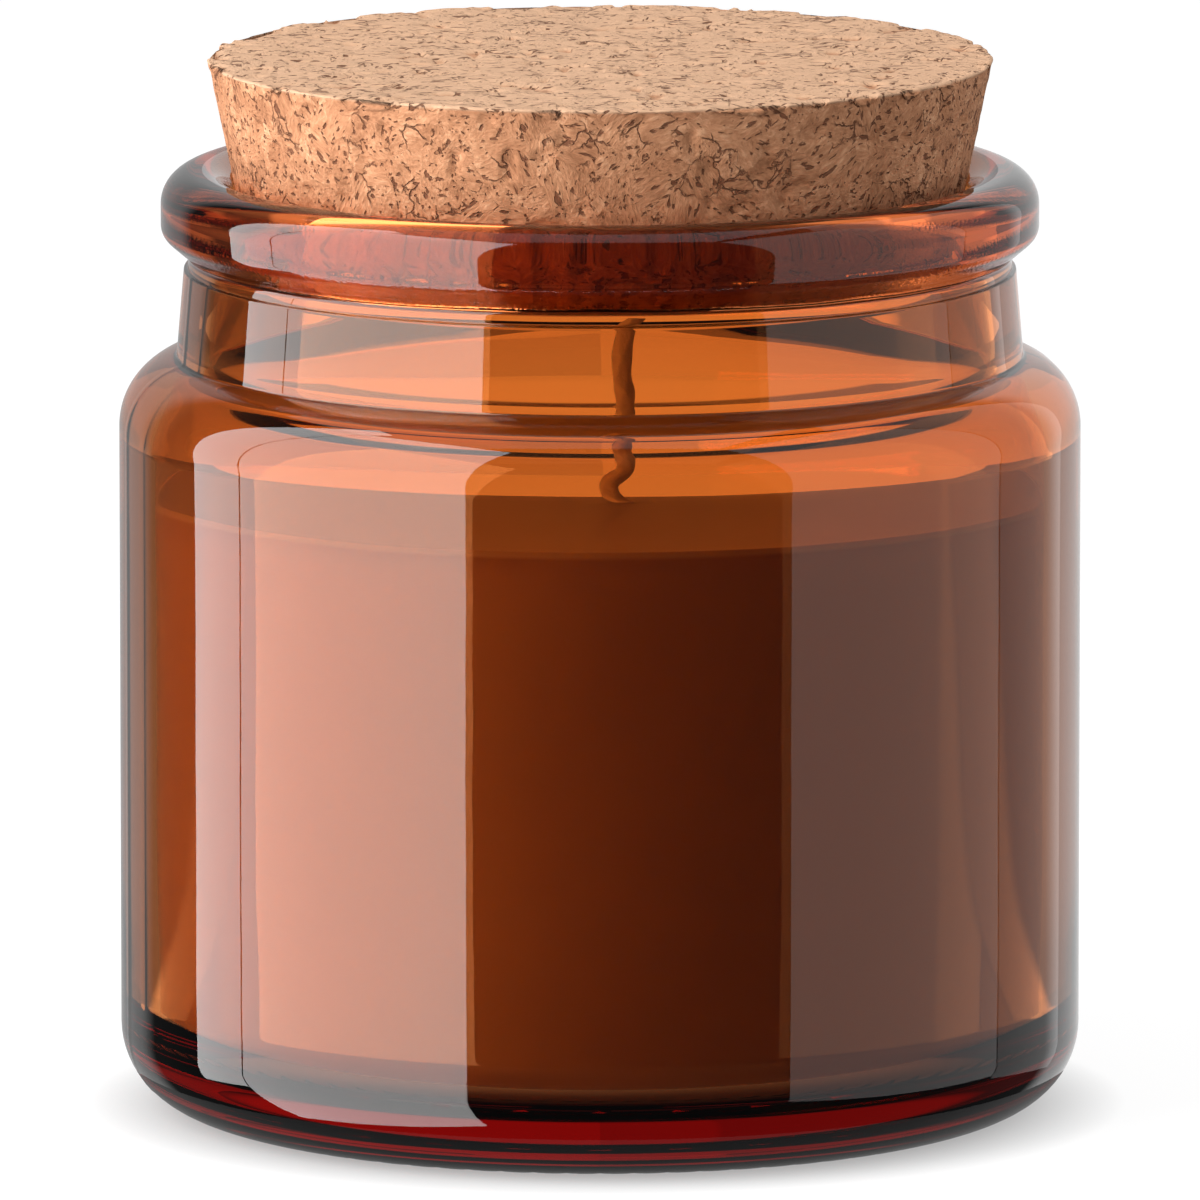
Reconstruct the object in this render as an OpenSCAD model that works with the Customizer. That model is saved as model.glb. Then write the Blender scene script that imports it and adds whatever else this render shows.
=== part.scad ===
// Scented candle in a round amber glass jar, closed by a tapered cork stopper.
// Origin: centre of the jar's footprint, on the surface it stands on. +Z is up.

/* [Jar body] */
// Outside diameter of the straight wall
body_d = 80; // [76:0.5:100]
// Height of the glass, from the surface it stands on to the top of the rim
jar_h = 78.6; // [62:0.2:110]
// Thickness of the straight wall
wall = 3; // [2:0.1:4]
// Thickness of the glass floor at its rim, where the wax rests
floor_t = 6; // [4:0.1:9]
// Radius of the rounded heel outside
heel_r = 7; // [4:0.1:9]
// Radius of the rounded corner inside, where the wall meets the floor
inner_heel_r = 4; // [1:0.1:6]
// Radius of the rounded shoulder
shoulder_r = 6; // [4:0.1:7.5]
// How far below the outside shoulder the inside wall starts to curve in
inner_shoulder_drop = 1.2; // [0.4:0.1:2]
// Radius of that curve, at the top of the straight wall inside
inner_shoulder_r = 4.6; // [2:0.1:5]
// Radius that turns the inside curve up into the neck's bore
inner_blend_r = 4.6; // [1:0.1:5]

/* [Bearing ring] */
// Width of the flat ring that the jar stands on
ring_w = 3.6; // [3:0.1:6]
// Height of the push-up, the shallow dome under the floor
push_up = 1.5; // [0.5:0.1:2.5]
// Number of shallow flutes across the outer edge of the ring
flute_count = 80; // [40:1:84]
// Radius of each flute's round section
flute_r = 2.2; // [1.2:0.1:3]
// Depth of each flute
flute_depth = 0.28; // [0.1:0.01:0.3]
// How far the flutes reach in across the flat ring
flute_reach = 1.6; // [0.5:0.1:2.2]

/* [Neck and rim] */
// Height from the top of the shoulder to the top of the rim
finish_h = 15.4; // [13:0.1:22]
// Diameter of the neck at the shoulder
neck_base_d = 70.4; // [69:0.1:71.8]
// Diameter of the neck just under the moulded step
neck_d = 69.2; // [67.4:0.1:70.2]
// Small step in where the body mould ends and the neck ring begins
step_in = 0.35; // [0.1:0.05:0.6]
// Length of the plain band between that step and the bead
step_band = 1.1; // [0.5:0.1:2.5]
// Radius that blends the neck into the shoulder
neck_blend_r = 0.8; // [0.4:0.1:1.4]
// Diameter of the bead round the rim
bead_d = 73; // [71:0.1:78]
// Height of the bead's upright face
bead_face_h = 2.9; // [1.5:0.1:3.8]
// Height of the bead's sloping underside
bead_under_h = 1.9; // [1:0.1:2.8]
// Radius that rounds the bead over to the top of the rim
bead_round_r = 2.8; // [1.5:0.1:2.9]
// Diameter of the mouth
mouth_d = 61; // [57:0.1:61.4]
// Radius of the rounded lip inside the mouth
lip_r = 2.7; // [1.2:0.1:2.8]
// Length of the straight bore under the lip
mouth_bore_h = 3; // [2:0.1:4.5]
// Thickness of the neck's glass, at its foot and at the plain band
neck_wall = 2.7; // [2.2:0.1:3.4]

/* [Cork stopper] */
// Height of the stopper
cork_h = 15; // [10:0.5:24]
// Depth that the stopper reaches below the rim
cork_depth = 5.5; // [3.5:0.1:8]
// Angle of the stopper's side from upright
cork_taper = 11.7; // [4:0.1:14]
// Bevel round the stopper's top edge
cork_bevel = 0.5; // [0.2:0.1:1.5]
// Gap between the seated stopper and the lip
cork_gap = 0.15; // [0.1:0.05:0.4]

/* [Wax and wick] */
// Depth of the wax's surface under the top of the straight wall inside
fill_drop = 3.6; // [0.6:0.2:33]
// Gap between the wax and the glass
wax_gap = 0.1; // [0.05:0.05:0.3]
// Gap between the wax and what is cast into it
cast_gap = 0.05; // [0.02:0.01:0.2]
// Diameter of the braided wick
wick_d = 1.8; // [1.2:0.1:3]
// Gap between the wick's cut end and the seated stopper
wick_head_gap = 4.7; // [2:0.1:10]
// How far the wick's root stands off the jar's axis
wick_off = 1.9; // [0:0.1:6]

/* [Wick tab and pad] */
// Diameter of the steel tab's disc
tab_d = 15; // [10:0.5:22]
// Thickness of the disc's sheet
tab_t = 0.4; // [0.2:0.05:0.8]
// Height of the neck that holds the wick, from under the disc
tab_neck_h = 5; // [3:0.1:9]
// Thickness of the neck's wall
tab_neck_wall = 0.5; // [0.3:0.05:0.8]
// Gap between the wick and the neck's bore
wick_gap = 0.05; // [0.02:0.01:0.1]
// Diameter of the adhesive pad under the tab
pad_d = 13; // [8:0.5:20]
// Thickness of the adhesive pad
pad_t = 0.8; // [0.4:0.1:1.6]
// Gap between the pieces of this stack: glass floor, pad and tab
stack_gap = 0.02; // [0.01:0.01:0.1]

/* [Hidden] */
$fn = 96;

// How far a cutting shape runs past what it cuts
over = 1;

body_r = body_d / 2;
inner_r = body_r - wall;
mouth_r = mouth_d / 2;
bead_r = bead_d / 2;

// Heights, from the surface the jar stands on
shoulder_top = jar_h - finish_h;
shoulder_z = shoulder_top - shoulder_r;
bead_round_z = jar_h - bead_round_r;
bead_face_z = bead_round_z - bead_face_h;
bead_under_z = bead_face_z - bead_under_h;
step_z = bead_under_z - step_band;
lip_z = jar_h - lip_r;
mouth_bore_z = lip_z - mouth_bore_h;

// Radii of the neck, above and below the moulded step, and of its bore
neck_r = neck_d / 2;
neck_base_r = neck_base_d / 2;
band_r = neck_r - step_in;
neck_bore_r = band_r - neck_wall;
bore_base_r = neck_base_r - neck_wall;

// The wall inside turns in and then up again, in two arcs that meet at one slope
inner_shoulder_z = shoulder_z - inner_shoulder_drop;
inner_turn = acos(max(1 - (inner_r - bore_base_r) / (inner_shoulder_r + inner_blend_r), 0));
inner_edge_r = inner_r - inner_shoulder_r * (1 - cos(inner_turn));
inner_edge_z = inner_shoulder_z + inner_shoulder_r * sin(inner_turn);
blend_edge_r = bore_base_r + inner_blend_r * (1 - cos(inner_turn));
bore_base_z = inner_edge_z + inner_blend_r * sin(inner_turn);

// The ring that the jar stands on
ring_r = body_r - heel_r;
ring_inner_r = ring_r - ring_w;
dome_r = (pow(ring_inner_r, 2) + pow(push_up, 2)) / (2 * push_up);

// The stopper's cone lies cork_gap off the rounded lip, wherever the lip is
cork_z = jar_h - cork_depth;
cork_slope = tan(cork_taper);
cork_bottom_r = mouth_r + lip_r - (lip_r + cork_gap) / cos(cork_taper) - (lip_z - cork_z) * cork_slope;
cork_top_r = cork_bottom_r + cork_h * cork_slope;

// The pad, the tab and the wick stand on the glass floor, one on another
wax_top = inner_shoulder_z - fill_drop;
wick_r = wick_d / 2;
pad_z = floor_t + stack_gap;
tab_z = pad_z + pad_t + stack_gap;
tab_bore_r = wick_r + wick_gap;
tab_neck_r = tab_bore_r + tab_neck_wall;
wick_z = tab_z + tab_t + wick_gap;
wick_out = cork_z - wick_head_gap - wax_top;

// Where the wick bends above the wax: share of its free length, then how far
// it has strayed sideways and backwards from its root, in wick diameters
WICK_BENDS = [
    [0.00, 0.0, 0.0],
    [0.22, -0.65, 0.2],
    [0.36, 0.1, 0.35],
    [0.62, -0.05, 0.1],
    [0.76, 0.05, -0.1],
    [0.93, 0.5, -0.15],
    [1.00, 0.65, -0.1]
];
WICK_SIDES = 12;
WICK_STEPS = 5;

// Point on a smooth curve through b and c at share t, with a and d beside them
function curve_point(a, b, c, d, t) =
    0.5 * (2 * b + (c - a) * t + (2 * a - 5 * b + 4 * c - d) * t * t
           + (3 * b - a - 3 * c + d) * t * t * t);

// The wick's centre line, from the tab up to its cut end
function wick_bend(i) =
    let (n = len(WICK_BENDS), b = WICK_BENDS[min(max(i, 0), n - 1)],
         share = i < 0 ? -0.2 : i >= n ? 1.1 : b[0])
    [wick_off + b[1] * wick_d, b[2] * wick_d, wax_top + share * wick_out];

wick_line = concat(
    [[wick_off, 0, wick_z], [wick_off, 0, wax_top - wick_d]],
    [for (i = [0 : len(WICK_BENDS) - 2], k = [0 : WICK_STEPS - 1])
        curve_point(wick_bend(i - 1), wick_bend(i), wick_bend(i + 1), wick_bend(i + 2), k / WICK_STEPS)],
    [wick_bend(len(WICK_BENDS) - 1)]
);

// Direction of a line of points at point i
function unit(v) = v / norm(v);
function heading(line, i) =
    unit(line[min(i + 1, len(line) - 1)] - line[max(i - 1, 0)]);

// Round tube along a line of points that climbs, its ends square and closed
module tube(line, r, sides) {
    ends = [[0, 0, 1], [0, 0, 1]];
    rings = [for (i = [0 : len(line) - 1])
        let (t = i <= 1 ? ends[0] : heading(line, i),
             u = unit(cross([0, 1, 0], t)),
             v = cross(t, u))
        [for (k = [0 : sides - 1]) line[i] + r * (cos(360 * k / sides) * u + sin(360 * k / sides) * v)]];
    points = [for (ring = rings, p = ring) p];
    last = len(line) - 1;
    faces = concat(
        [[for (k = [0 : sides - 1]) k]],
        [for (i = [0 : last - 1], k = [0 : sides - 1])
            let (a = i * sides + k, b = i * sides + (k + 1) % sides)
            [a, a + sides, b + sides]],
        [for (i = [0 : last - 1], k = [0 : sides - 1])
            let (a = i * sides + k, b = i * sides + (k + 1) % sides)
            [a, b + sides, b]],
        [[for (k = [sides - 1 : -1 : 0]) last * sides + k]]
    );
    polyhedron(points = points, faces = faces, convexity = 4);
}

// Half section of the glass as if it were solid. Its shapes overlap, so that no seam is left
module outer_section() {
    // Foot, heel and straight wall
    square([ring_r, shoulder_z]);
    translate([ring_r, heel_r]) circle(r = heel_r);
    translate([0, heel_r]) square([body_r, shoulder_z - heel_r]);
    // Shoulder
    translate([body_r - shoulder_r, shoulder_z]) circle(r = shoulder_r);
    square([body_r - shoulder_r, shoulder_top]);
    // Neck, moulded step and bead
    polygon([
        [0, heel_r],
        [neck_base_r, heel_r],
        [neck_base_r, shoulder_top + neck_blend_r],
        [neck_r, step_z],
        [band_r, step_z],
        [band_r, bead_under_z],
        [bead_r, bead_face_z],
        [bead_r, bead_round_z],
        [bead_r - bead_round_r, jar_h],
        [0, jar_h]
    ]);
    intersection() {
        translate([bead_r - bead_round_r, bead_round_z]) circle(r = bead_round_r);
        translate([0, bead_round_z]) square([bead_r, bead_round_r]);
    }
}

// Half section of the straight space inside the glass, widened or narrowed by grow
module cavity_body(grow) {
    r = inner_r + grow;
    corner = inner_heel_r + grow;
    bottom = floor_t - grow;
    translate([0, bottom]) square([r - corner, inner_shoulder_z - bottom]);
    translate([r - corner, bottom + corner]) circle(r = corner);
    translate([0, bottom + corner]) square([r, inner_shoulder_z - bottom - corner]);
}

// The whole of that space, up through the mouth. Its shapes overlap, as those outside do
module cavity_section() {
    base = floor_t + inner_heel_r;
    cavity_body(0);
    // Under the shoulder
    translate([0, base]) square([inner_edge_r, inner_edge_z - base]);
    translate([inner_r - inner_shoulder_r, inner_shoulder_z]) circle(r = inner_shoulder_r);
    // Blend from the shoulder into the neck's bore
    difference() {
        translate([0, base]) square([blend_edge_r, bore_base_z - base]);
        translate([bore_base_r + inner_blend_r, bore_base_z]) circle(r = inner_blend_r);
    }
    // Neck's bore, narrowing to the mouth
    polygon([
        [0, base],
        [bore_base_r, base],
        [bore_base_r, bore_base_z],
        [neck_bore_r, mouth_bore_z - (neck_bore_r - mouth_r)],
        [mouth_r, mouth_bore_z],
        [mouth_r, jar_h + over],
        [0, jar_h + over]
    ]);
    // Rounded lip
    difference() {
        translate([0, lip_z]) square([mouth_r + lip_r, lip_r + over]);
        translate([mouth_r + lip_r, lip_z]) circle(r = lip_r);
    }
}

// Shallow round-bottomed flutes across the outer edge of the bearing ring
module flutes() {
    for (i = [0 : flute_count - 1])
        rotate([0, 0, 360 * i / flute_count])
            translate([ring_r - flute_reach, 0, flute_depth - flute_r])
                rotate([0, 90, 0])
                    cylinder(r = flute_r, h = flute_reach + heel_r);
}

module glass_jar() {
    color([0.55, 0.24, 0.06, 0.75])
        difference() {
            rotate_extrude() difference() {
                outer_section();
                cavity_section();
            }
            translate([0, 0, push_up - dome_r]) sphere(r = dome_r);
            flutes();
        }
}

module cork_stopper() {
    color([0.78, 0.6, 0.42])
        translate([0, 0, cork_z])
            rotate_extrude() polygon([
                [0, 0],
                [cork_bottom_r - cork_bevel, 0],
                [cork_bottom_r + cork_bevel * cork_slope, cork_bevel],
                [cork_top_r - cork_bevel * cork_slope, cork_h - cork_bevel],
                [cork_top_r - cork_bevel, cork_h],
                [0, cork_h]
            ]);
}

module wax_fill() {
    pocket_h = tab_z + tab_t + cast_gap;
    color([0.93, 0.88, 0.76])
        difference() {
            rotate_extrude() intersection() {
                cavity_body(-wax_gap);
                square([inner_r, wax_top]);
            }
            translate([wick_off, 0, 0]) {
                cylinder(r = max(tab_d, pad_d) / 2 + cast_gap, h = pocket_h);
                cylinder(r = tab_neck_r + cast_gap, h = tab_z + tab_neck_h + cast_gap);
                cylinder(r = wick_r + cast_gap, h = wax_top + over);
            }
        }
}

module wick() {
    color([0.86, 0.82, 0.72]) tube(wick_line, wick_r, WICK_SIDES);
}

module wick_tab() {
    color([0.72, 0.72, 0.74])
        translate([wick_off, 0, tab_z])
            difference() {
                union() {
                    cylinder(d = tab_d, h = tab_t);
                    cylinder(r = tab_neck_r, h = tab_neck_h);
                }
                translate([0, 0, tab_t]) cylinder(r = tab_bore_r, h = tab_neck_h);
            }
}

module wick_sticker() {
    color([0.9, 0.9, 0.88])
        translate([wick_off, 0, pad_z])
            cylinder(d = pad_d, h = pad_t);
}

glass_jar();
cork_stopper();
wax_fill();
wick();
wick_tab();
wick_sticker();
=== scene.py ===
# %% [markdown]
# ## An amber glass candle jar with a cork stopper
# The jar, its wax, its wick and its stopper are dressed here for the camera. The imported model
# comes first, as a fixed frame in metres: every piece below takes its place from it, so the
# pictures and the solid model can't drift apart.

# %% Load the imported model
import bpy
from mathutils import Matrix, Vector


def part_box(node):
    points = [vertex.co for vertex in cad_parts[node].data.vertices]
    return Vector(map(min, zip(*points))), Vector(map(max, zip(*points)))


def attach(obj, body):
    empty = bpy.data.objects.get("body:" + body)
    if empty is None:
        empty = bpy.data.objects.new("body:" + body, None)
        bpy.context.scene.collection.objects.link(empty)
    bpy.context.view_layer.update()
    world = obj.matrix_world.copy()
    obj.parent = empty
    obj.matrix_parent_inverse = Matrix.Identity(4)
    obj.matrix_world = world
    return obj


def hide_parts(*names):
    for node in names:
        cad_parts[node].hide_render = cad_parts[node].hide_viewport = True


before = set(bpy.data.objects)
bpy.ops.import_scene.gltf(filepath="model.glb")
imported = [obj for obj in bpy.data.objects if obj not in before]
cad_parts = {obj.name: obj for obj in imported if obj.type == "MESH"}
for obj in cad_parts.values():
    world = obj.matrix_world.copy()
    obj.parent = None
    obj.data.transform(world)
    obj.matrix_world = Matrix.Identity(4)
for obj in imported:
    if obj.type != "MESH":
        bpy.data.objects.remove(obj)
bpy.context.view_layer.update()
print("nodes:", sorted(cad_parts))

# %% Tools from Python and Blender
import math
import bpy
import numpy as np
from mathutils import Vector

MM = 0.001
scene = bpy.context.scene

# %% [markdown]
# ### Surfaces as whole arrays
# Every new piece is a grid of points worked out with numpy. A round piece is a profile, a list
# of (radius, height) points, carried round the Z axis; a wick is a ring carried along a line.
# Both end up as rings of points, so one function puts any of them into a mesh. Blender could
# also spin the profile with a modifier, but whole arrays let each point move on its own
# afterwards, which is how the flutes, the chipped cork and the braid are made.

# %% Rings of points into a mesh
def mesh_from_rings(name, rings, first_pole, last_pole):
    """Joins neighbouring rings with quads and closes both ends with fans of triangles.

    rings is an array (ring, side, 3). Quad (i, j) has the corners (i, j), (i, j + 1),
    (i + 1, j + 1) and (i + 1, j), where j + 1 wraps round, so that its face looks outwards
    when the rings climb and the sides run anticlockwise seen from above.
    """
    count, sides, _ = rings.shape
    points = np.concatenate([rings.reshape(-1, 3), [first_pole], [last_pole]])
    i, j = np.meshgrid(np.arange(count - 1), np.arange(sides), indexing="ij")
    here = i * sides + j
    beside = i * sides + (j + 1) % sides
    quads = np.stack([here, beside, beside + sides, here + sides], -1).reshape(-1, 4)
    side = np.arange(sides)
    after = (side + 1) % sides
    low = np.stack([np.full(sides, count * sides), after, side], -1)
    top_ring = (count - 1) * sides
    high = np.stack([np.full(sides, count * sides + 1), top_ring + side, top_ring + after], -1)
    corners = np.concatenate([quads.ravel(), low.ravel(), high.ravel()])
    sizes = np.concatenate([np.full(len(quads), 4), np.full(2 * sides, 3)])
    mesh = bpy.data.meshes.new(name)
    mesh.vertices.add(len(points))
    mesh.vertices.foreach_set("co", points.ravel())
    mesh.loops.add(len(corners))
    mesh.loops.foreach_set("vertex_index", corners)
    mesh.polygons.add(len(sizes))
    mesh.polygons.foreach_set("loop_start", np.cumsum(sizes) - sizes)
    mesh.update(calc_edges=True)
    mesh.shade_smooth()
    piece = bpy.data.objects.new(name, mesh)
    scene.collection.objects.link(piece)
    print(name, "triangles:", 2 * len(quads) + 2 * sides, "clean:", not mesh.validate())
    return piece


# %% Points of a profile
def arc(centre, radius, start, stop, steps):
    """centre + radius * (cos a, sin a), with a in degrees from start to stop."""
    a = np.radians(np.linspace(start, stop, steps + 1))
    return np.stack([centre[0] + radius * np.cos(a), centre[1] + radius * np.sin(a)], -1)


def line(first, last, steps):
    """Points at even spacing from first to last."""
    return np.linspace(first, last, steps + 1)


def soft_corner(before, corner, after, reach, steps=4):
    """Rounds a corner: a parabola from the point at reach before it to the one at reach after.

    Its points are (1 - t)^2 a + 2 t (1 - t) corner + t^2 b.
    """
    before, corner, after = (np.array(p, float) for p in (before, corner, after))
    a = corner + (before - corner) * reach / np.linalg.norm(before - corner)
    b = corner + (after - corner) * reach / np.linalg.norm(after - corner)
    t = np.linspace(0, 1, steps + 1)[:, None]
    return (1 - t) ** 2 * a + 2 * t * (1 - t) * corner + t ** 2 * b


def turned(profile, sides):
    """Radius, height and angle of every point of a profile turned round Z, as (ring, side)."""
    angle = np.linspace(0, 2 * np.pi, sides, endpoint=False)
    radius = np.repeat(profile[:, :1], sides, 1)
    height = np.repeat(profile[:, 1:], sides, 1)
    return radius, height, np.broadcast_to(angle, radius.shape)


def from_polar(radius, height, angle):
    """(radius cos angle, radius sin angle, height), from millimetres to metres."""
    return np.stack([radius * np.cos(angle), radius * np.sin(angle), height], -1) * MM


def without_repeats(profile):
    """Drops a profile's points that lie on the one before."""
    step = np.linalg.norm(np.diff(profile, axis=0), axis=1)
    return profile[np.concatenate([[True], step > 1e-4])]


# %% [markdown]
# ### Noise for shapes
# Cork is never smooth and pressed glass is never perfectly true. Both take small shifts from
# one noise: random numbers at the corners of a lattice of cubes, blended inside each cube. It
# is seeded, so that every run makes the same cork.

# %% Lattice noise
def lattice_noise(points, size, seed):
    """Smooth noise from 0 to 1 at every point.

    A table holds a random number for each corner of cubes of that size. A point's value blends
    its cube's eight corners, by s * s * (3 - 2 s) along each axis.
    """
    cells = 64
    table = np.random.default_rng(seed).random((cells, cells, cells))
    place = np.asarray(points) / size
    base = np.floor(place).astype(int)
    share = place - base
    share = share * share * (3 - 2 * share)
    total = np.zeros(share.shape[:-1])
    for corner in np.ndindex(2, 2, 2):
        weight = np.where(np.array(corner, bool), share, 1 - share).prod(-1)
        x, y, z = np.moveaxis((base + corner) % cells, -1, 0)
        total += weight * table[x, y, z]
    return total


def ramp(value, low, high):
    """0 below low, 1 above high, and s * s * (3 - 2 s) between."""
    s = np.clip((value - low) / (high - low), 0, 1)
    return s * s * (3 - 2 * s)


# %% [markdown]
# ### The glass jar
# The jar is pressed from one gob of amber glass. Its wall is 3 mm thick, its shoulder turns in
# to a short neck, and a heavy bead runs round the rim. What one sees of such a jar is mostly
# what its two faces do to light, so the inside has to be as exact as the outside: the neck's
# bore leans like the neck, or it would act as a prism, and the inside shoulder is a soft S.
# The whole wall is one closed profile, from the middle of the underside out, up, over the rim
# and down the inside to the middle of the floor.

# %% Sizes of the jar, in millimetres
jar_low, jar_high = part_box("glass_jar")
body_r = jar_high.x / MM
jar_h = jar_high.z / MM
wall = 3.0
floor_t = 6.0
heel_r = 7.0
inner_heel_r = 4.0
shoulder_r = 6.0
shoulder_top = jar_h - 15.4
shoulder_z = shoulder_top - shoulder_r
ring_w = 3.6
push_up = 1.5
neck_base_r = 35.2
neck_r = 34.6
band_r = neck_r - 0.35
bead_r = 36.5
bead_round_r = 2.8
bead_round_z = jar_h - bead_round_r
bead_face_z = bead_round_z - 2.4
bead_under_z = bead_face_z - 1.9
step_z = bead_under_z - 1.1
mouth_r = 30.5
lip_r = 2.7
lip_z = jar_h - lip_r
bore_z = lip_z - 3.0
neck_wall = 2.7
inner_r = body_r - wall
inner_shoulder_z = shoulder_z - 1.2
inner_shoulder_r = 4.6
inner_blend_r = 4.6
print("jar:", round(body_r, 2), "mm radius,", round(jar_h, 2), "mm high")

# %% The outside of the glass
ring_r = body_r - heel_r
ring_inner_r = ring_r - ring_w
dome_r = (ring_inner_r ** 2 + push_up ** 2) / (2 * push_up)
dome_span = math.degrees(math.asin(ring_inner_r / dome_r))
shoulder_turn = math.degrees(math.acos((neck_base_r - body_r + shoulder_r) / shoulder_r))
neck_foot = (neck_base_r, shoulder_z + shoulder_r * math.sin(math.radians(shoulder_turn)))
outside = np.concatenate([
    arc((0, push_up - dome_r), dome_r, 90, 90 - dome_span, 8),
    line((ring_inner_r, 0), (ring_r, 0), 9)[1:],
    arc((ring_r, heel_r), heel_r, -90, -66, 8)[1:],
    arc((ring_r, heel_r), heel_r, -66, 0, 12)[1:],
    line((body_r, heel_r), (body_r, shoulder_z), 8)[1:],
    arc((body_r - shoulder_r, shoulder_z), shoulder_r, 0, shoulder_turn - 8, 18)[1:],
    soft_corner((neck_base_r + 1, neck_foot[1] - 0.2), neck_foot, (neck_base_r, step_z), 0.3, 6),
    line((neck_base_r - 0.05, shoulder_top + 0.6), (neck_r + 0.02, step_z - 0.3), 2),
    soft_corner((neck_r, shoulder_top), (neck_r, step_z), (band_r, step_z), 0.12, 3),
    soft_corner((neck_r, step_z), (band_r, step_z), (band_r, bead_under_z), 0.15, 3),
    soft_corner((band_r, step_z), (band_r, bead_under_z), (bead_r, bead_face_z), 0.35, 4),
    soft_corner((band_r, bead_under_z), (bead_r, bead_face_z), (bead_r, bead_round_z), 0.7, 6),
    arc((bead_r - bead_round_r, bead_round_z), bead_round_r, 0, 90, 14),
])
print("outside:", len(outside), "points")

# %% The inside of the glass
bore_r = band_r - neck_wall
bore_base_r = neck_base_r - neck_wall
curve_r = inner_shoulder_r + inner_blend_r
turn = math.degrees(math.acos(1 - (inner_r - bore_base_r) / curve_r))
bore_base_z = inner_shoulder_z + curve_r * math.sin(math.radians(turn))
bore_step_z = bore_z - (bore_r - mouth_r)
inside = np.concatenate([
    arc((mouth_r + lip_r, lip_z), lip_r, 90, 180, 14),
    line((mouth_r, lip_z - 0.5), (mouth_r, bore_z + 0.6), 1),
    soft_corner((mouth_r, lip_z), (mouth_r, bore_z), (bore_r, bore_step_z), 0.5, 4),
    soft_corner((mouth_r, bore_z), (bore_r, bore_step_z), (bore_base_r, bore_base_z), 0.5, 4),
    line((bore_r + 0.1, bore_step_z - 1), (bore_base_r, bore_base_z), 4),
    arc((bore_base_r + inner_blend_r, bore_base_z), inner_blend_r, 180, 180 + turn, 16)[1:],
    arc((inner_r - inner_shoulder_r, inner_shoulder_z), inner_shoulder_r, turn, 0, 16)[1:],
    line((inner_r, inner_shoulder_z), (inner_r, floor_t + inner_heel_r), 4)[1:],
    arc((inner_r - inner_heel_r, floor_t + inner_heel_r), inner_heel_r, 0, -90, 10)[1:],
    line((inner_r - inner_heel_r, floor_t), (0, floor_t), 3)[1:],
])
glass_profile = without_repeats(np.concatenate([outside, inside]))
print("whole wall:", len(glass_profile), "points")

# %% [markdown]
# The mould leaves three marks. Shallow flutes cross the outer edge of the ring that the jar
# stands on, and let the jar cool on the belt without sticking. Two fine seams run up the
# sides, where the halves of the mould met. And the plunger's edge left a slightly wavy step
# inside the mouth. The flutes are cylinders cut across the ring, so a point under a flute is
# lifted to the cylinder's top.

# %% Flutes, seams and the wavy step
flute_count = 80
flute_r = 2.2
flute_depth = 0.28
flute_start = ring_r - 1.6
flute_fade = 0.5
steps_per_flute = 6
seam_angles = np.radians([-168.5, 11.5])
seam_lift = 0.07
seam_width = 0.35


def press_marks(radius, height, angle, outer):
    """Lifts the flutes, raises the seams and bends the step in the mouth.

    A flute's top over its middle line is depth - r + sqrt(r^2 - d^2), where d is the distance
    across from that line. A seam lifts the outside by lift * exp(-(d / width)^2).
    """
    pitch = 2 * np.pi / flute_count
    across = radius * np.sin((angle + pitch / 2) % pitch - pitch / 2)
    top = flute_depth - flute_r + np.sqrt(np.maximum(flute_r ** 2 - across ** 2, 0))
    top = top - flute_depth * (1 - ramp(radius, flute_start, flute_start + flute_fade))
    low = outer & (radius > flute_start - 1) & (height < 1)
    height = np.where(low, np.maximum(height, top), height)
    for seam in seam_angles:
        gap = radius * np.sin((angle - seam) / 2) * 2
        side = outer & (height > 2) & (height < step_z)
        radius = radius + side * seam_lift * np.exp(-(gap / seam_width) ** 2)
    round_jar = np.stack([np.cos(angle) * 30, np.sin(angle) * 30, 0 * angle], -1)
    wave = lattice_noise(round_jar, 4.0, 3) - 0.5
    near_step = np.exp(-((height - bore_step_z - 0.5) / 1.2) ** 2) * ~outer
    return radius, height + 0.5 * wave * near_step


radius, height, angle = turned(glass_profile[1:-1], flute_count * steps_per_flute)
is_outer = (np.arange(len(glass_profile) - 2) < len(outside) - 2)[:, None]
radius, height = press_marks(radius, height, angle, is_outer)
glass_piece = mesh_from_rings(
    "jar_glass",
    from_polar(radius, height, angle),
    (0, 0, push_up * MM),
    (0, 0, floor_t * MM),
)

# %% [markdown]
# ### The wax
# The wax was poured in molten. Wax shrinks as it cools and lets go of the glass, so a film of
# air lies between the two, and the inner face of the glass mirrors light as well as the outer
# one. The film is a real gap here, a twentieth of a millimetre. The wax's top is nearly flat,
# climbs a little at the wall and round the wick, and has the faint unevenness of wax that
# cooled from the outside in. Underneath it leaves room for the wick's tab and pad.

# %% Wax
pad_low, pad_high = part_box("wick_sticker")
tab_low, tab_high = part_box("wick_tab")
wax_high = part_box("wax_fill")[1]
wax_top = wax_high.z / MM
wax_dip = 0.3
wick_x = (pad_low.x + pad_high.x) / 2 / MM
air_film = 0.05
wax_r = inner_r - air_film
wax_bottom = floor_t + air_film
corner_r = inner_heel_r - air_film
climb = 0.2
climb_reach = 1.2
wax_profile = without_repeats(np.concatenate([
    line((0.6, wax_bottom), (wax_r - corner_r, wax_bottom), 40),
    arc((wax_r - corner_r, wax_bottom + corner_r), corner_r, -90, 0, 10)[1:],
    line((wax_r, wax_bottom + corner_r), (wax_r, wax_top), 12)[1:],
    line((wax_r, wax_top), (wax_r - 6, wax_top), 24)[1:],
    line((wax_r - 6, wax_top), (0.6, wax_top), 50)[1:],
]))


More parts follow.
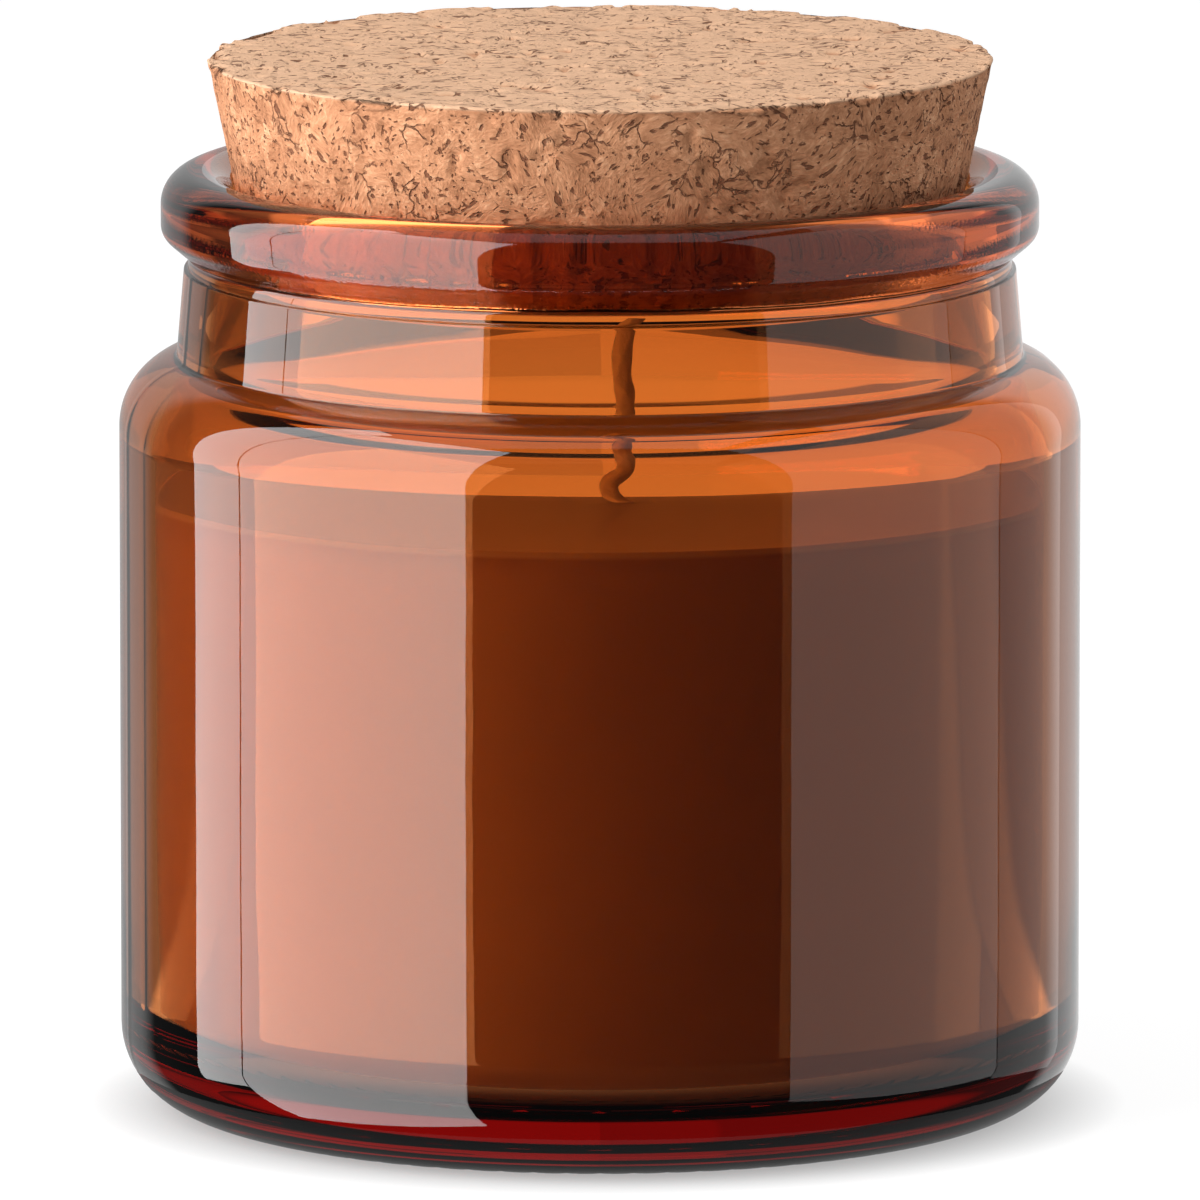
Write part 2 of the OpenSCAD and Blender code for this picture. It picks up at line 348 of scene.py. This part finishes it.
def wax_shape(radius, height, angle):
    """Top: height + climb * exp(-gap / reach) at the wall and the wick, plus slow noise.

    Bottom: raised to the tab's top inside the tab's outline, and to its neck's top inside that.
    """
    x = radius * np.cos(angle)
    y = radius * np.sin(angle)
    from_wick = np.hypot(x - wick_x, y)
    is_top = height > wax_top - 0.01
    swell = lattice_noise(np.stack([x, y, 0 * x], -1), 9.0, 11) - 0.5
    crest = climb * np.exp(-(wax_r - radius) / climb_reach)
    crest += 0.5 * np.exp(-np.maximum(from_wick - 0.9, 0) / 0.9)
    height = height + is_top * (crest + 0.15 * swell - wax_dip)
    is_under = height < wax_bottom + 0.01
    tab_r = (tab_high.x - tab_low.x) / 2 / MM + 0.3
    height = np.where(is_under & (from_wick < tab_r), tab_low.z / MM + 0.5, height)
    return np.where(is_under & (from_wick < 1.8), tab_high.z / MM + 0.1, height)


radius, height, angle = turned(wax_profile, 256)
height = wax_shape(radius, height, angle)
wax_piece = mesh_from_rings(
    "wax_fill_cast",
    from_polar(radius, height, angle),
    (0, 0, height[0].mean() * MM),
    (0, 0, height[-1].mean() * MM),
)

# %% [markdown]
# ### The wick
# A candle wick is a flat or square braid of cotton. This one is a round braid that was bent
# when the jar was packed, and it shows through the neck as a crooked line. The line is the
# same one that the solid model follows. The braid is a tube whose surface swells where a
# strand lies on top: two families of strands wind in opposite directions, and they take turns
# at passing over.

# %% The wick's line
wick_low, wick_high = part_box("wick")
wick_d = 1.8
wick_out = wick_high.z / MM - wax_top
wick_bends = np.array([
    [0.00, 0.0, 0.0],
    [0.22, -0.65, 0.2],
    [0.36, 0.1, 0.35],
    [0.62, -0.05, 0.1],
    [0.76, 0.05, -0.1],
    [0.93, 0.5, -0.15],
    [1.00, 0.65, -0.1],
])


def smooth_line(stops, steps):
    """A curve through every stop: between b and c, with a and d beside them, the point is
    half of 2 b + (c - a) t + (2 a - 5 b + 4 c - d) t^2 + (3 b - a - 3 c + d) t^3."""
    padded = np.concatenate([2 * stops[:1] - stops[1:2], stops, 2 * stops[-1:] - stops[-2:-1]])
    a, b, c, d = (padded[k:k + len(stops) - 1, None] for k in range(4))
    t = np.linspace(0, 1, steps, endpoint=False)[None, :, None]
    curve = 0.5 * (2 * b + (c - a) * t + (2 * a - 5 * b + 4 * c - d) * t ** 2
                   + (3 * b - a - 3 * c + d) * t ** 3)
    return np.concatenate([curve.reshape(-1, 3), stops[-1:]])


stops = np.stack([
    wick_x + wick_bends[:, 1] * wick_d,
    wick_bends[:, 2] * wick_d,
    wax_top + wick_bends[:, 0] * wick_out,
], -1)
root = line((wick_x, 0, wick_low.z / MM), (wick_x, 0, wax_top - wick_d), 6)
wick_line = smooth_line(np.concatenate([root[::3], stops]), 36)
print("wick line:", len(wick_line), "points, tip at", wick_line[-1].round(1))

# %% The braid
strands = 4
braid_pitch = 3.4
braid_swell = 0.16


def braid(centre_line, radius, sides):
    """Rings square to the line, whose radius swells where a strand is on top.

    Family one is cos(n (a + w)) and family two cos(n (a - w)), where w turns once per pitch
    along the line. The family on top changes with the sign of sin(n a) sin(n w).
    """
    ahead = np.gradient(centre_line, axis=0)
    ahead /= np.linalg.norm(ahead, axis=1, keepdims=True)
    right = np.cross([0.0, 1.0, 0.0], ahead)
    right /= np.linalg.norm(right, axis=1, keepdims=True)
    front = np.cross(ahead, right)
    angle = np.linspace(0, 2 * np.pi, sides, endpoint=False)[None, :]
    length = np.concatenate([[0], np.cumsum(np.linalg.norm(np.diff(centre_line, axis=0), axis=1))])
    wind = (2 * np.pi * length / braid_pitch / strands)[:, None]
    one = 0.5 + 0.5 * np.cos(strands * (angle + wind))
    two = 0.5 + 0.5 * np.cos(strands * (angle - wind))
    over = ramp(np.sin(strands * angle) * np.sin(strands * wind), -0.3, 0.3)
    swell = np.maximum(one * (0.55 + 0.45 * over), two * (1 - 0.45 * over))
    reach = radius * (1 - braid_swell + braid_swell * swell)
    side = np.cos(angle)[..., None] * right[:, None] + np.sin(angle)[..., None] * front[:, None]
    return (centre_line[:, None] + reach[..., None] * side) * MM


wick_rings = braid(wick_line, wick_d / 2, 40)
wick_piece = mesh_from_rings(
    "wick_braid",
    wick_rings,
    wick_rings[0].mean(0),
    wick_rings[-1].mean(0),
)

# %% [markdown]
# ### The cork stopper
# The stopper is agglomerated cork: granules of bark, 2 to 3 mm across, pressed with a binder
# into a block and turned to a cone. Turning tears some granules out, so the skin is full of
# shallow pits, and the sharp top edge has chipped. The cone is a turned profile whose points
# then sink by noise: fine grain everywhere, pits where a coarser noise is low, and chips that
# deepen towards the two edges.

# %% Cork
cork_low, cork_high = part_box("cork_stopper")
cork_z = cork_low.z / MM
cork_top = cork_high.z / MM
cork_top_r = cork_high.x / MM
cork_taper = math.radians(11.7)
cork_bottom_r = cork_top_r - (cork_top - cork_z) * math.tan(cork_taper)
cork_edge = 0.35
cork_profile = without_repeats(np.concatenate([
    line((0.5, cork_z), (cork_bottom_r - cork_edge, cork_z), 44),
    soft_corner((0, cork_z), (cork_bottom_r, cork_z), (cork_top_r, cork_top), cork_edge, 3),
    line((cork_bottom_r + 0.1, cork_z + 0.5), (cork_top_r - 0.1, cork_top - 0.5), 44),
    soft_corner((cork_bottom_r, cork_z), (cork_top_r, cork_top), (0, cork_top), cork_edge, 4),
    line((cork_top_r - 0.5, cork_top), (0.5, cork_top), 66),
]))


def weathered(points, outward):
    """Sinks each point along its outward direction, and says how deep, in millimetres.

    Depth is fine grain, plus pits where noise of granule size falls below a limit, plus chips
    that grow towards the nearest edge.
    """
    grain = 0.10 * lattice_noise(points, 0.9, 21) + 0.10 * lattice_noise(points, 2.1, 22)
    pits = 0.30 * ramp(0.30 - lattice_noise(points, 1.5, 23), 0, 0.14)
    radius = np.hypot(points[..., 0], points[..., 1])
    side_r = cork_bottom_r + (points[..., 2] - cork_z) * math.tan(cork_taper)
    from_side = side_r - radius
    from_end = np.minimum(points[..., 2] - cork_z, cork_top - points[..., 2])
    from_edge = np.maximum(from_side, from_end)
    chip = ramp(lattice_noise(points, 2.0, 24), 0.50, 0.80) * np.exp(-from_edge / 0.7)
    depth = grain + pits + 0.9 * chip
    return points - depth[..., None] * outward, depth


radius, height, angle = turned(cork_profile, 600)
plain = from_polar(radius, height, angle) / MM
is_end = (height < cork_z + 0.3) | (height > cork_top - 0.3)
up = np.where(height > (cork_z + cork_top) / 2, 1.0, -1.0)
lean = math.sin(cork_taper)
outward = np.stack([
    np.where(is_end, 0.35, math.cos(cork_taper)) * np.cos(angle),
    np.where(is_end, 0.35, math.cos(cork_taper)) * np.sin(angle),
    np.where(is_end, 0.94 * up, -lean),
], -1)
worn, cork_depth = weathered(plain, outward)
cork_piece = mesh_from_rings(
    "cork_stopper_turned",
    worn * MM,
    worn[0].mean(0) * MM,
    worn[-1].mean(0) * MM,
)
print("deepest pit:", round(float(cork_depth.max()), 2), "mm")

# %% [markdown]
# ### Shader maths as Python
# A material is a graph of nodes. Written node by node it is hard to read, so a small class
# wraps one socket and turns + - * / and comparisons into Math nodes. Another holds the tree
# and adds any other node with one call: its type, its settings, then what its sockets get.

# %% A socket that does maths
class Wire:
    """One output socket. An expression on it adds the Math nodes that it needs."""

    def __init__(self, tree, socket):
        self.tree = tree
        self.socket = socket

    def maths(self, operation, first, second):
        return self.tree.add("ShaderNodeMath", {"operation": operation}, {0: first, 1: second})

    def __add__(self, other):
        return self.maths("ADD", self, other)

    def __sub__(self, other):
        return self.maths("SUBTRACT", self, other)

    def __rsub__(self, other):
        return self.maths("SUBTRACT", other, self)

    def __mul__(self, other):
        return self.maths("MULTIPLY", self, other)

    def __truediv__(self, other):
        return self.maths("DIVIDE", self, other)

    def __gt__(self, other):
        return self.maths("GREATER_THAN", self, other)

    def __lt__(self, other):
        return self.maths("LESS_THAN", self, other)

    def larger(self, other):
        return self.maths("MAXIMUM", self, other)

    def smaller(self, other):
        return self.maths("MINIMUM", self, other)

    def size(self):
        return self.maths("ABSOLUTE", self, 0.0)

    def root(self):
        return self.maths("SQRT", self, 0.0)

    def output(self, name):
        return Wire(self.tree, self.socket.node.outputs[name])

    __radd__ = __add__
    __rmul__ = __mul__


# %% A tree of nodes
class Tree:
    """A node tree, emptied, to which nodes are added by type, settings and sockets."""

    def __init__(self, owner):
        owner.use_nodes = True
        self.nodes = owner.node_tree.nodes
        self.links = owner.node_tree.links
        self.nodes.clear()

    def add(self, kind, settings=None, sockets=None):
        """Adds a node and returns its first output. A ramp's stops are (place, colour)."""
        node = self.nodes.new(kind)
        for name, value in (settings or {}).items():
            if name == "stops":
                self.set_stops(node.color_ramp.elements, value)
            else:
                setattr(node, name, value)
        for name, value in (sockets or {}).items():
            if isinstance(value, Wire):
                self.links.new(value.socket, node.inputs[name])
            else:
                node.inputs[name].default_value = value
        return Wire(self, node.outputs[0]) if node.outputs else None

    def set_stops(self, elements, stops):
        while len(elements) < len(stops):
            elements.new(0.5)
        for element, (place, colour) in zip(elements, stops):
            element.position = place
            element.color = colour if len(colour) == 4 else (*colour, 1)

    def place(self):
        """The point being shaded, in the piece's own metres."""
        return self.add("ShaderNodeTexCoord").output("Object")

    def noise(self, where, size, detail=2.0, rough=0.5):
        """Noise from 0 to 1 whose lumps are about size metres across."""
        sockets = {"Vector": where, "Scale": 1 / size, "Detail": detail, "Roughness": rough}
        return self.add("ShaderNodeTexNoise", None, sockets)

    def ramp(self, value, *stops):
        """A colour, or a grey, that runs through the stops as value goes from 0 to 1."""
        return self.add("ShaderNodeValToRGB", {"stops": stops}, {"Fac": value})

    def mix(self, share, first, second, blend="MIX"):
        """Blends two colours."""
        settings = {"data_type": "RGBA", "blend_type": blend}
        node = self.add("ShaderNodeMix", settings, {0: share, 6: first, 7: second})
        return Wire(self, node.socket.node.outputs[2])

    def slope(self, value, low, high):
        """0 below low, 1 above high, and a smooth step between."""
        settings = {"interpolation_type": "SMOOTHSTEP"}
        return self.add("ShaderNodeMapRange", settings, {0: value, 1: low, 2: high})

    def bump(self, height, distance, under=None):
        """A normal tilted by height, whose full range stands for distance metres."""
        sockets = {"Strength": 1.0, "Distance": distance, "Height": height}
        if under is not None:
            sockets["Normal"] = under
        return self.add("ShaderNodeBump", None, sockets)


def new_material(name):
    """An empty material and its tree."""
    material = bpy.data.materials.new(name)
    return material, Tree(material)


# %% [markdown]
# ### Amber glass
# Glass bends light and mirrors a little of it, so the surface is a smooth transmitting shader.
# The amber could be paint on that surface, but then a thick rim would look like a thin wall. So
# a volume inside absorbs with distance: little red, more green and nearly all the blue. It
# takes (1 - colour) * density per metre. Real amber also takes the shortest waves of each
# colour in the first tenths of a millimetre, and fewer afterwards; a tint at the surface stands
# for that first part. The skin sags faintly, as pressed glass does, and has a band of coarse
# peel under the bead.

# %% Amber glass
def amber_glass():
    material, tree = new_material("amber_glass")
    where = tree.place()
    height = tree.add("ShaderNodeSeparateXYZ", None, {0: where}).output("Z")
    sag = tree.noise(where, 14 * MM, 1.0)
    under_bead = (height > (bead_face_z - 1.0) * MM) * (height < (bead_face_z + 0.2) * MM)
    peel = tree.noise(where, 0.4 * MM, 2.0) * under_bead
    skin = tree.bump(sag, 0.02 * MM)
    skin = tree.bump(peel, 0.05 * MM, skin)
    surface = tree.add("ShaderNodeBsdfPrincipled", None, {
        "Base Color": (0.98, 0.57, 0.22, 1), "Roughness": 0.0, "IOR": 1.52,
        "Transmission Weight": 1.0, "Normal": skin})
    body = tree.add("ShaderNodeVolumeAbsorption", None, {
        "Color": (0.86, 0.25, 0.0, 1), "Density": 119.0})
    tree.add("ShaderNodeOutputMaterial", None, {"Surface": surface, "Volume": body})
    return material


# %% [markdown]
# ### Cork
# Each granule is a slice of bark with its own tone, and the fibres of the bark run in another
# direction in each. Cells of a Voronoi texture stand for granules. A cell's random colour gives
# its tone and also turns the coordinates, so that the fissures, a stretched noise, change
# direction from granule to granule. The cells are bent by noise first, because torn granules
# have no straight edges, and dark glue shows along some of them. The top and bottom are painted
# paler than the turned side, painted light for a whiter light on the top, and the part in the
# mouth is painted darker, painted shade for the shade inside the jar's mouth.

# %% Cork
def cork_finish():
    material, tree = new_material("agglomerated_cork")
    where = tree.place()
    bend = tree.add("ShaderNodeTexNoise", None, {"Vector": where, "Scale": 450.0, "Detail": 4.0})
    bent = tree.add("ShaderNodeVectorMath", {"operation": "MULTIPLY_ADD"}, {
        0: bend.output("Color"), 1: (3.6 * MM,) * 3, 2: where})
    granule = tree.add("ShaderNodeTexVoronoi", None, {"Vector": bent, "Scale": 400.0})
    own = granule.output("Color")
    turn = tree.add("ShaderNodeVectorMath", {"operation": "SCALE"}, {0: own, "Scale": 6.3})
    turned_place = tree.add("ShaderNodeVectorRotate", {"rotation_type": "EULER_XYZ"}, {
        "Vector": where, "Rotation": turn})
    along = tree.add("ShaderNodeMapping", None, {"Vector": turned_place, "Scale": (1, 1, 0.3)})
    flake = tree.noise(along, 0.28 * MM, 3.0, 0.6)
    mottle = tree.noise(bent, 1.6 * MM, 2.0)
    tone = tree.add("ShaderNodeSeparateXYZ", None, {0: own}) * 0.12 + flake * 0.5 + mottle * 0.38
    side = tree.ramp(
        tone,
        (0.30, (0.28, 0.115, 0.052)),
        (0.44, (0.42, 0.185, 0.090)),
        (0.56, (0.53, 0.250, 0.128)),
        (0.70, (0.70, 0.380, 0.215)),
    )
    height = tree.add("ShaderNodeSeparateXYZ", None, {0: where}).output("Z")
    # Painted light: the top and bottom faces are mixed towards a paler colour, standing for a whiter
    # light on the top.
    pale_ends_painted_light = tree.slope(height, (cork_top - 0.5) * MM, (cork_top - 0.2) * MM)
    pale_ends_painted_light = pale_ends_painted_light.larger(1 - tree.slope(height, (cork_z + 0.2) * MM, (cork_z + 0.5) * MM))
    colour = tree.mix(pale_ends_painted_light * 0.7, side, (0.74, 0.48, 0.31, 1))
    edge = tree.add("ShaderNodeTexVoronoi", {"feature": "DISTANCE_TO_EDGE"}, {
        "Vector": bent, "Scale": 400.0})
    glued = tree.slope(tree.noise(where, 3.5 * MM, 2.0), 0.54, 0.64)
    glue = (1 - tree.slope(edge, 0.0, 0.05)) * glued
    fissure = tree.slope(tree.noise(along, 0.50 * MM, 2.0, 0.55), 0.59, 0.66)
    dark = glue.larger(fissure)
    colour = tree.mix(dark * 0.85, colour, (0.13, 0.042, 0.019, 1))
    # Painted shade: the cork below the rim is mixed darker, standing for the shade inside the jar's
    # mouth.
    painted_mouth_shade = 1 - tree.slope(height, (jar_h - 4.0) * MM, (jar_h + 0.8) * MM)
    colour = tree.mix(painted_mouth_shade * 0.4, colour, (0.10, 0.040, 0.018, 1))
    relief = tree.bump(flake, 0.16 * MM)
    relief = tree.bump(1 - dark, 0.20 * MM, relief)
    surface = tree.add("ShaderNodeBsdfPrincipled", None, {
        "Base Color": colour, "Roughness": 0.85, "IOR": 1.3, "Normal": relief})
    tree.add("ShaderNodeOutputMaterial", None, {"Surface": surface})
    return material


# %% [markdown]
# ### Wax, cotton, steel and foam
# Candle wax is a cloudy solid: light goes in a few millimetres, scatters and comes out again,
# which is why its edges glow. The shader's subsurface part does that. The wick is cotton, soft
# and fibrous along its strands. The tab is tinned steel with a rolled grain, and the pad is
# white foam tape.

# %% Wax
def wax_finish():
    material, tree = new_material("candle_wax")
    where = tree.place()
    cloud = tree.noise(where, 12 * MM, 3.0)
    # Painted light and shade: the top gets a lighter colour and the sides a darker one, a lit and a
    # shaded copy of the same wax; depth is the mask between them.
    top = tree.mix(cloud, (0.36, 0.30, 0.22, 1), (0.42, 0.36, 0.28, 1))
    side = tree.mix(cloud, (0.26, 0.165, 0.105, 1), (0.31, 0.20, 0.13, 1))
    height = tree.add("ShaderNodeSeparateXYZ", None, {0: where}).output("Z")
    depth = tree.slope(height, (wax_top - 0.8) * MM, (wax_top - 0.4) * MM)
    skin = tree.bump(tree.noise(where, 2.5 * MM, 2.0), 0.03 * MM)
    surface = tree.add("ShaderNodeBsdfPrincipled", None, {
        "Base Color": tree.mix(depth, side, top), "Roughness": 0.42, "IOR": 1.44,
        "Subsurface Weight": 0.5, "Subsurface Radius": (1.0, 0.8, 0.6),
        "Subsurface Scale": 2 * MM, "Normal": skin})
    tree.add("ShaderNodeOutputMaterial", None, {"Surface": surface})
    return material


# %% Cotton
def cotton_finish():
    material, tree = new_material("wick_cotton")
    where = tree.place()
    fibre = tree.noise(where, 0.25 * MM, 3.0)
    soot = tree.noise(where, 2.5 * MM, 2.0)
    colour = tree.mix(soot, (0.62, 0.55, 0.43, 1), (0.74, 0.68, 0.56, 1))
    colour = tree.mix(fibre * 0.4, colour, (0.45, 0.38, 0.28, 1))
    surface = tree.add("ShaderNodeBsdfPrincipled", None, {
        "Base Color": colour, "Roughness": 0.8, "Sheen Weight": 0.2,
        "Normal": tree.bump(fibre, 0.08 * MM)})
    tree.add("ShaderNodeOutputMaterial", None, {"Surface": surface})
    return material


# %% Steel and foam
def steel_finish():
    material, tree = new_material("tinned_steel")
    where = tree.place()
    stretched = tree.add("ShaderNodeMapping", None, {"Vector": where, "Scale": (1, 18, 1)})
    grain = tree.noise(stretched, 4 * MM, 4.0)
    surface = tree.add("ShaderNodeBsdfPrincipled", None, {
        "Base Color": tree.mix(grain, (0.50, 0.50, 0.51, 1), (0.68, 0.68, 0.68, 1)), "Metallic": 1.0,
        "Roughness": grain * 0.2 + 0.25, "Normal": tree.bump(grain, 0.01 * MM)})
    tree.add("ShaderNodeOutputMaterial", None, {"Surface": surface})
    return material


def foam_finish():
    material, tree = new_material("foam_tape")
    where = tree.place()
    cells = tree.add("ShaderNodeTexVoronoi", None, {"Vector": where, "Scale": 4500.0})
    surface = tree.add("ShaderNodeBsdfPrincipled", None, {
        "Base Color": tree.mix(cells, (0.80, 0.80, 0.78, 1), (0.66, 0.66, 0.64, 1)),
        "Roughness": 0.9, "Normal": tree.bump(cells, 0.05 * MM)})
    tree.add("ShaderNodeOutputMaterial", None, {"Surface": surface})
    return material


# %% [markdown]
# ### Pieces on their bodies
# Each piece rides on the body that moves it and stands for the plain solid it replaces. The
# steel tab and the foam pad are right as they are, so they keep their solids and only get a
# finish.

# %% Dress the bodies
dressed = [
    (glass_piece, "glass_jar", "jar", "amber_glass", amber_glass()),
    (wax_piece, "wax_fill", "jar", "wax", wax_finish()),
    (wick_piece, "wick", "jar", "wick_cotton", cotton_finish()),
    (cork_piece, "cork_stopper", "lid", "cork", cork_finish()),
]
for piece, node, body, slot, material in dressed:
    piece.data.materials.append(material)
    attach(piece, body)
    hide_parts(node)

for node, material in (("wick_tab", steel_finish()), ("wick_sticker", foam_finish())):
    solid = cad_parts[node]
    solid.data.materials.clear()
    solid.data.materials.append(material)

# %% [markdown]
# ### Floor and surroundings
# The jar stands on a plain white sheet with no horizon, so the camera sees white all round it.
# Glass shows much more of a room than the camera sees, and its look hangs on that. Behind the
# jar a patch of the sheet and a strip of the backdrop are lit, and glow through the neck. Black
# flags stand beside them and draw the dark edges, it is white again beyond the flags, and the
# room in front is dark. In front the sheet counts as absent for light inside the glass and in
# mirrors, so that both find the softboxes whole. Light that has struck a matt surface sees none
# of this white: the cork gets an even fill instead. The sheet keeps the jar's soft shadow and
# darkens where the jar all but touches it.

# %% Floor
contact_shade = 0.45
lit_y = 0.43
lit_r = 0.065
flag_light = 0.14
room_light = 0.06
white_behind = 0.80
near_r = 0.055


def around_jar(tree, across, behind):
    """What glass finds round the jar, by the turn from straight behind: next to no light where
    the black flags stand, up to 66 degrees, and white from 72 degrees on. The second answer is
    1 in front, from 88 degrees on, where the room is dark."""
    turn = tree.add("ShaderNodeMath", {"operation": "ARCTAN2"}, {0: across, 1: behind})
    white = tree.slope(turn, math.radians(66), math.radians(72)).larger(flag_light)
    return white, tree.slope(turn, math.radians(84), math.radians(88))


def floor_finish():
    material, tree = new_material("white_sheet")
    path = tree.add("ShaderNodeLightPath")
    spot = tree.add("ShaderNodeSeparateXYZ", None, {0: tree.place()})
    across = spot.output("X").size()
    behind = spot.output("Y")
    beyond = behind - lit_y
    off_middle = (across * across + beyond.smaller(0) * beyond.smaller(0)).root()
    lit = 1 - tree.slope(off_middle - beyond.larger(0) * 0.15, lit_r - 0.005, lit_r + 0.005)
    beside, front = around_jar(tree, across, behind)
    from_glass = path.output("Is Transmission Ray")
    in_glass = from_glass * lit.larger(beside * (1 - front)).larger(room_light) * white_behind
    seen = path.output("Is Camera Ray").larger(in_glass)
    direct = path.output("Diffuse Depth") < 0.5
    open_sky = tree.add("ShaderNodeAmbientOcclusion", None, {"Distance": 0.006}).output("AO")
    shade = open_sky * (1 - contact_shade) + contact_shade
    glow = tree.add("ShaderNodeEmission", None, {"Strength": seen * direct * shade * 0.90})
    matt = tree.add("ShaderNodeBsdfDiffuse", None, {"Color": (0.18, 0.18, 0.18, 1)})
    both = tree.add("ShaderNodeAddShader", None, {0: matt, 1: glow})
    absent = tree.add("ShaderNodeBsdfTransparent")
    from_axis = (across * across + behind * behind).root()
    sheet_or_none = tree.add("ShaderNodeMixShader", None, {
        0: front * from_glass * (from_axis > near_r), 1: both, 2: absent})
    tree.add("ShaderNodeOutputMaterial", None, {"Surface": sheet_or_none})
    return material


sheet_side = 6.0
bpy.ops.mesh.primitive_plane_add(size=sheet_side)
sheet = bpy.context.object
sheet.name = "white_sheet"
sheet.data.materials.append(floor_finish())
sheet.visible_glossy = False
sheet.visible_diffuse = False

# %% [markdown]
# The underside of the rounded heel mirrors the sheet right below it, which is a dim grey line
# round the foot. A small disc that only mirrors see stands for that part of the sheet.

# %% The sheet under the heel
def glow_finish():
    material, tree = new_material("sheet_under_heel")
    glow = tree.add("ShaderNodeEmission", None, {"Strength": 0.22})
    tree.add("ShaderNodeOutputMaterial", None, {"Surface": glow})
    return material


bpy.ops.mesh.primitive_circle_add(vertices=128, radius=(body_r + 1.2) * MM, fill_type="NGON")
under_heel = bpy.context.object
under_heel.name = "sheet_under_heel"
under_heel.location.z = -0.02 * MM
under_heel.data.materials.append(glow_finish())
under_heel.visible_camera = False
under_heel.visible_diffuse = False
under_heel.visible_transmission = False
under_heel.visible_shadow = False

# %% [markdown]
# The surroundings answer each kind of ray apart. Mirrors find white only behind the jar, and
# less of it on the left. Light that comes out of the glass finds the lit strip, the flags and
# the white beyond. Everything else is a dark room, with a weak fill for matt surfaces.

# %% Surroundings
fill_light = 0.38


def surroundings():
    world = bpy.data.worlds.new("white_backdrop")
    scene.world = world
    tree = Tree(world)
    path = tree.add("ShaderNodeLightPath")
    towards = tree.add("ShaderNodeTexCoord").output("Generated")
    way = tree.add("ShaderNodeSeparateXYZ", None, {0: towards})
    back = way.output("Y")
    direct = path.output("Diffuse Depth") < 0.5
    side_light = 0.62 + 0.38 * (way.output("X") > 0)
    mirrored = tree.slope(back, 0.68, 0.82) * side_light * path.output("Is Glossy Ray")
    middle = tree.slope(back, 0.20, 0.35) * (1 - tree.slope(way.output("X").size(), 0.16, 0.22))
    low = 1 - tree.slope(way.output("Z"), 0.5, 0.8)
    beside, front = around_jar(tree, way.output("X").size(), back)
    beside = beside * low * (1 - front)
    through = middle.larger(beside) * path.output("Is Transmission Ray") * white_behind
    in_glass = path.output("Is Transmission Ray").larger(path.output("Is Glossy Ray"))
    around = mirrored.larger(through).larger(in_glass * room_light) * direct
    fill = path.output("Is Diffuse Ray") * fill_light
    seen = path.output("Is Camera Ray").larger(around).larger(fill)
    light = tree.add("ShaderNodeBackground", None, {"Strength": seen})
    tree.add("ShaderNodeOutputWorld", None, {"Surface": light})


surroundings()

# %% [markdown]
# ### Lamps
# Two tall softboxes stand beside the jar. Their mirror images are the two pale panels on the
# glass, so their edges are given as directions seen from the jar: degrees to the right of the
# camera, and degrees up. The left one is bright, and lights the cork and the wax from the side;
# its end behind the jar shows only in mirrors. The right one is dim, and dimmer towards the
# back. A broad lamp above lights the top of the cork.

# %% Softboxes
def softbox(name, left, right, low, high, radiance, distance=0.5):
    """A rectangle square to the jar that spans those directions, of that radiance.

    A lamp's power in watts is its radiance times its area times pi.
    """
    middle = math.radians((left + right) / 2)
    width = 2 * distance * math.tan(math.radians(right - left) / 2)
    bottom = distance * math.tan(math.radians(low))
    top = distance * math.tan(math.radians(high))
    lamp = bpy.data.lights.new(name, "AREA")
    lamp.shape = "RECTANGLE"
    lamp.size = width
    lamp.size_y = top - bottom
    lamp.energy = radiance * width * (top - bottom) * math.pi
    holder = bpy.data.objects.new(name, lamp)
    holder.location = (
        distance * math.sin(middle), -distance * math.cos(middle), 0.04 + (bottom + top) / 2)
    holder.rotation_euler = (math.radians(90), 0, middle)
    holder.visible_camera = False
    scene.collection.objects.link(holder)
    return holder


softbox("left_softbox", -93, -31, -48, 62, 4.6)
rear = softbox("left_softbox_rear", -110, -93, -22, 62, 4.6)
rear.visible_transmission = False
rear.visible_diffuse = False
softbox("right_softbox", 45, 108, -22, 62, 0.82)
softbox("right_softbox_rear", 108, 141, -22, 62, 0.5)

top_lamp = bpy.data.lights.new("top_lamp", "AREA")
top_lamp.size = 0.8
top_lamp.energy = 0.7 * 0.8 ** 2 * math.pi
top_holder = bpy.data.objects.new("top_lamp", top_lamp)
top_holder.location = (-0.1, 0.1, 0.8)
top_holder.visible_camera = False
scene.collection.objects.link(top_holder)

# %% [markdown]
# ### Camera
# The picture looks down on the jar at nine degrees from far away with a long lens. The frame
# is square and takes in 100 mm at the jar.

# %% Camera
camera_far = 1.8
camera_up = math.radians(9.2)
aim = Vector((0, 0, 42.3 * MM))
view_width = 100 * MM
camera = bpy.data.cameras.new("camera")
camera.sensor_width = 36
camera.lens = camera.sensor_width * camera_far / view_width
camera.clip_start = 0.05
camera.clip_end = 20
camera_holder = bpy.data.objects.new("camera", camera)
camera_holder.location = aim + camera_far * Vector((0, -math.cos(camera_up), math.sin(camera_up)))
camera_holder.rotation_euler = (math.pi / 2 - camera_up, 0, 0)
scene.collection.objects.link(camera_holder)
scene.camera = camera_holder
scene.view_settings.view_transform = "Standard"
